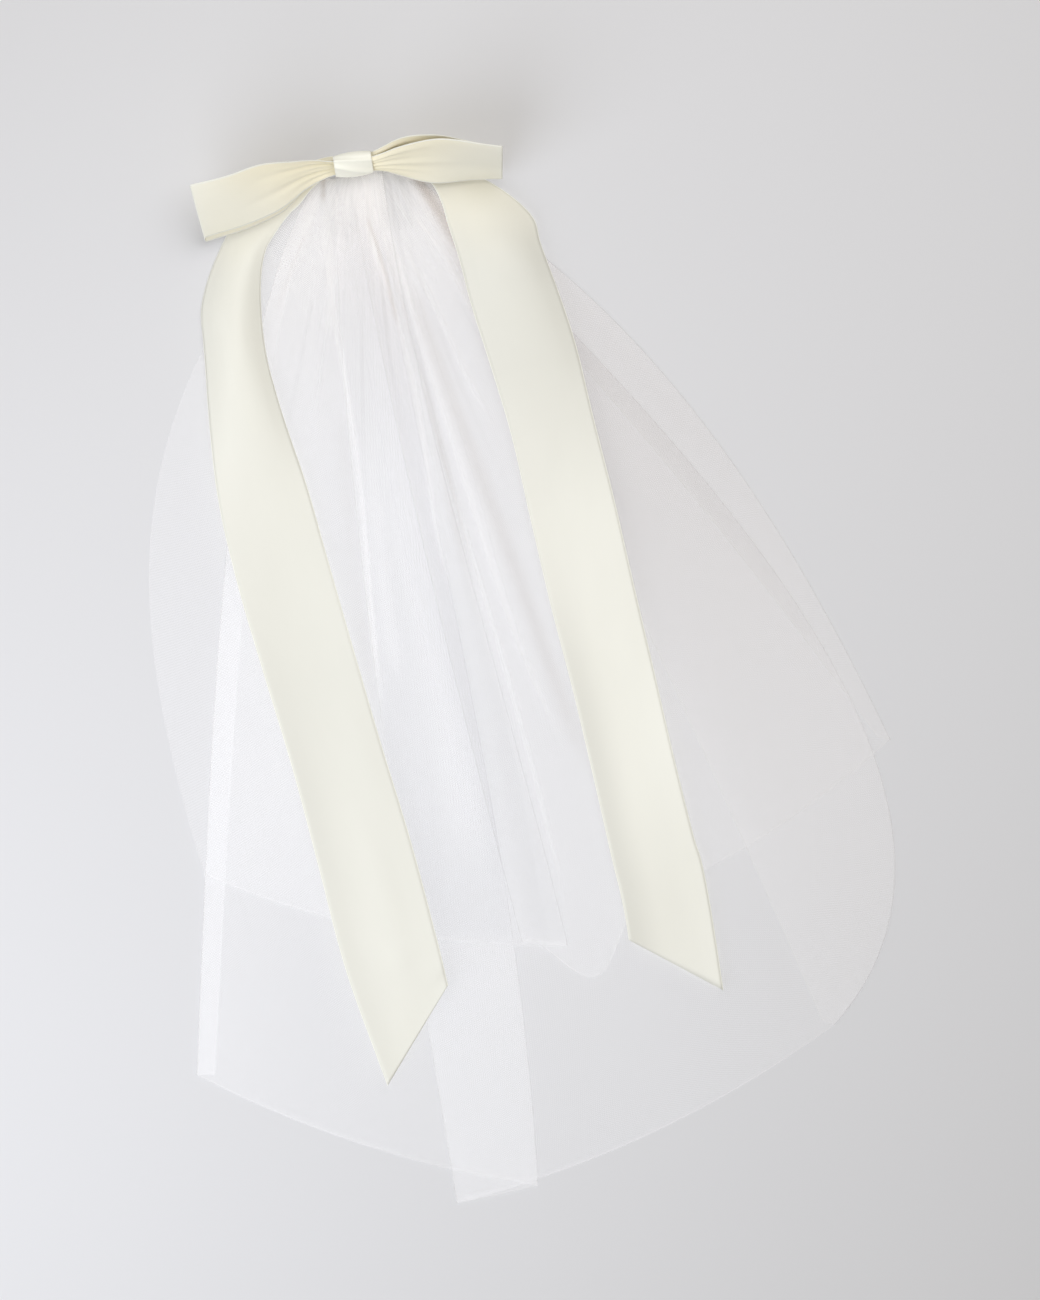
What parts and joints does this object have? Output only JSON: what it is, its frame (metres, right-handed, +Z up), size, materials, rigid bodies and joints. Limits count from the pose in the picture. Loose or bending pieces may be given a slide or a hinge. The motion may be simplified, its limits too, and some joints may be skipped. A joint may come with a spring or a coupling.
{
  "type": "bridal veil",
  "caption": "Short two-tier tulle veil laid flat, gathered on a hair comb under a satin ribbon bow with long slanting tails.",
  "frame": {"origin": "centre of the laid veil's outline, on the table", "axes": "+Z up from the table, +Y along the veil from its hems towards the comb and bow, +X to the right seen from above"},
  "size_m": [0.4075, 0.575, 0.0626],
  "materials": {
    "tulle": "sheer soft net",
    "satin": "ivory satin ribbon",
    "comb_plastic": "clear"
  },
  "bodies": {
    "root": {"tulle_lower_tier": "tulle", "tulle_upper_tier": "tulle", "bow_loop_left": "satin", "bow_loop_right": "satin", "bow_knot": "satin", "tail_left": "satin", "tail_right": "satin", "comb": "comb_plastic"}
  },
  "joints": []
}
